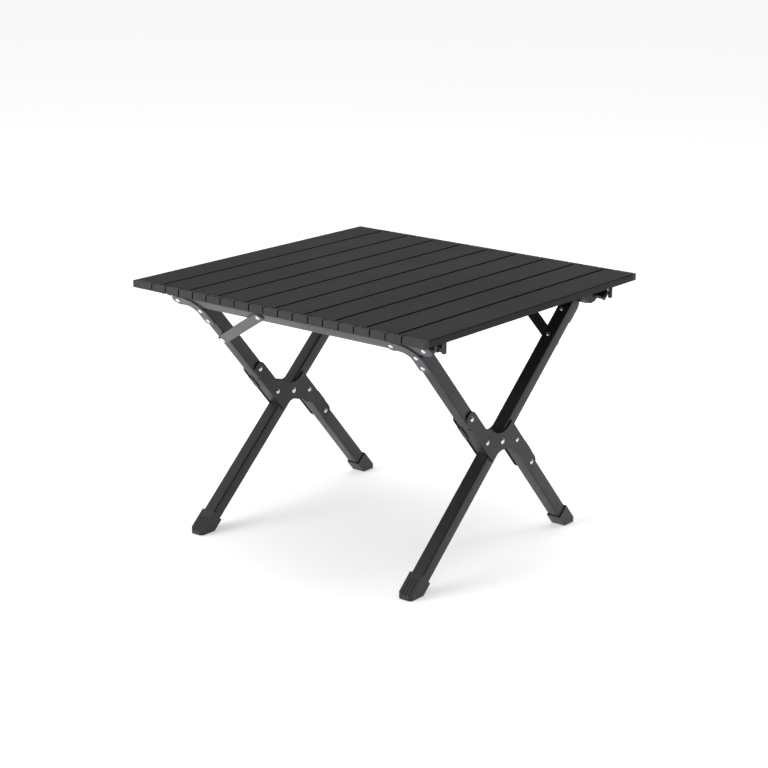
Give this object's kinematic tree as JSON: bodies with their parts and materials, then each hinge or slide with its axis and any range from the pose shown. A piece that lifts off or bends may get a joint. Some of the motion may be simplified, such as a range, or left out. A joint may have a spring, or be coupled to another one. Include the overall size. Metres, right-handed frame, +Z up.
{
  "type": "folding side table",
  "caption": "Low folding side table with a roll-up slatted aluminium top on two rails and two folding X leg frames.",
  "frame": {"origin": "on the floor, under the middle of the table top", "axes": "+X along the rails, from the left X frame to the right one; +Y along the slats, away from the front rail; +Z up"},
  "size_m": [0.596, 0.595, 0.443],
  "materials": {
    "slat_aluminium": "satin black powder coat",
    "end_plastic": "moulded matte black",
    "clip_plastic": "moulded matte black",
    "frame_aluminium": "satin anthracite powder coat",
    "painted_steel": "satin anthracite powder coat",
    "bright_steel": "bright zinc rivet",
    "foot_plastic": "moulded soft black"
  },
  "bodies": {
    "front_frame": {"front_rail": "frame_aluminium", "front_rail_plugs": "clip_plastic", "split_leg_upper_left": "frame_aluminium", "split_leg_upper_right": "frame_aluminium", "split_leg_lower_left": "frame_aluminium", "split_leg_lower_right": "frame_aluminium", "split_leg_plugs": "clip_plastic", "hub_plates_left": "painted_steel", "hub_plates_right": "painted_steel", "hub_rivets": "bright_steel", "pivot_bolts": "bright_steel", "front_straps": "painted_steel", "front_rivets": "bright_steel", "front_brace_stud": "bright_steel", "rear_feet": "foot_plastic"},
    "rear_frame": {"rear_rail": "frame_aluminium", "rear_rail_plugs": "clip_plastic", "straight_leg_left": "frame_aluminium", "straight_leg_right": "frame_aluminium", "rear_straps": "painted_steel", "rear_rivets": "bright_steel", "rear_brace_stud": "bright_steel", "front_feet": "foot_plastic"},
    "front_brace_bar": {"front_brace": "painted_steel"},
    "rear_brace_bar": {"rear_brace": "painted_steel"},
    "top_01": {"slat_01": "slat_aluminium", "end_plugs_01": "end_plastic", "hinge_links_1": "end_plastic", "fork_clips_left": "clip_plastic", "clip_screws_left": "bright_steel"},
    "top_02": {"slat_02": "slat_aluminium", "end_plugs_02": "end_plastic", "hinge_links_2": "end_plastic"},
    "top_03": {"slat_03": "slat_aluminium", "end_plugs_03": "end_plastic", "hinge_links_3": "end_plastic"},
    "top_04": {"slat_04": "slat_aluminium", "end_plugs_04": "end_plastic", "hinge_links_4": "end_plastic"},
    "top_05": {"slat_05": "slat_aluminium", "end_plugs_05": "end_plastic", "hinge_links_5": "end_plastic"},
    "top_06": {"slat_06": "slat_aluminium", "end_plugs_06": "end_plastic", "hinge_links_6": "end_plastic"},
    "top_07": {"slat_07": "slat_aluminium", "end_plugs_07": "end_plastic", "hinge_links_7": "end_plastic"},
    "top_08": {"slat_08": "slat_aluminium", "end_plugs_08": "end_plastic", "hinge_links_8": "end_plastic"},
    "top_09": {"slat_09": "slat_aluminium", "end_plugs_09": "end_plastic", "hinge_links_9": "end_plastic"},
    "top_10": {"slat_10": "slat_aluminium", "end_plugs_10": "end_plastic", "fork_clips_right": "clip_plastic", "clip_screws_right": "bright_steel"}
  },
  "joints": [
    {"name": "x_fold", "type": "hinge", "parent": "front_frame", "child": "rear_frame", "pos_m": [0, 0.002, 0.205], "axis": [1, 0, 0], "range_deg": [0, 87]},
    {"name": "top_lift", "type": "slide", "parent": "front_frame", "child": "top_01", "axis": [0, 0, 1], "range_m": [0, 0.385]},
    {"name": "front_brace_swing", "type": "hinge", "parent": "front_frame", "child": "front_brace_bar", "pos_m": [-0.084, -0.23017, 0.40378], "axis": [0, -0.742, -0.6704], "range_deg": [0, 144]},
    {"name": "rear_brace_swing", "type": "hinge", "parent": "rear_frame", "child": "rear_brace_bar", "pos_m": [0.084, 0.23913, 0.40314], "axis": [0, 0.6717, -0.7408], "range_deg": [0, 144]},
    {"name": "seam_1", "type": "hinge", "parent": "top_01", "child": "top_02", "pos_m": [-0.24, 0, 0.44], "axis": [0, -1, 0], "range_deg": [0, 60]},
    {"name": "seam_2", "type": "hinge", "parent": "top_02", "child": "top_03", "pos_m": [-0.18, 0, 0.44], "axis": [0, -1, 0], "range_deg": [0, 45.1]},
    {"name": "seam_3", "type": "hinge", "parent": "top_03", "child": "top_04", "pos_m": [-0.12, 0, 0.44], "axis": [0, -1, 0], "range_deg": [0, 18.1]},
    {"name": "seam_4", "type": "hinge", "parent": "top_04", "child": "top_05", "pos_m": [-0.06, 0, 0.44], "axis": [0, -1, 0], "range_deg": [0, 66.1]},
    {"name": "seam_5", "type": "hinge", "parent": "top_05", "child": "top_06", "pos_m": [0, 0, 0.44], "axis": [0, -1, 0], "range_deg": [0, 54.1]},
    {"name": "seam_6", "type": "hinge", "parent": "top_06", "child": "top_07", "pos_m": [0.06, 0, 0.44], "axis": [0, -1, 0], "range_deg": [0, 45.1]},
    {"name": "seam_7", "type": "hinge", "parent": "top_07", "child": "top_08", "pos_m": [0.12, 0, 0.44], "axis": [0, -1, 0], "range_deg": [0, 67.3]},
    {"name": "seam_8", "type": "hinge", "parent": "top_08", "child": "top_09", "pos_m": [0.18, 0, 0.44], "axis": [0, -1, 0], "range_deg": [0, 76.3]},
    {"name": "seam_9", "type": "hinge", "parent": "top_09", "child": "top_10", "pos_m": [0.24, 0, 0.44], "axis": [0, -1, 0], "range_deg": [0, 76.3]}
  ],
  "couplings": [
    {"joint": "top_lift", "follows": "x_fold", "m_per_rad": 0.25},
    {"joint": "seam_2", "follows": "seam_1", "ratio": 0.75},
    {"joint": "seam_3", "follows": "seam_1", "ratio": 0.3},
    {"joint": "seam_4", "follows": "seam_1", "ratio": 1.1},
    {"joint": "seam_5", "follows": "seam_1", "ratio": 0.9},
    {"joint": "seam_6", "follows": "seam_1", "ratio": 0.75},
    {"joint": "seam_7", "follows": "seam_1", "ratio": 1.12},
    {"joint": "seam_8", "follows": "seam_1", "ratio": 1.27},
    {"joint": "seam_9", "follows": "seam_1", "ratio": 1.27}
  ]
}
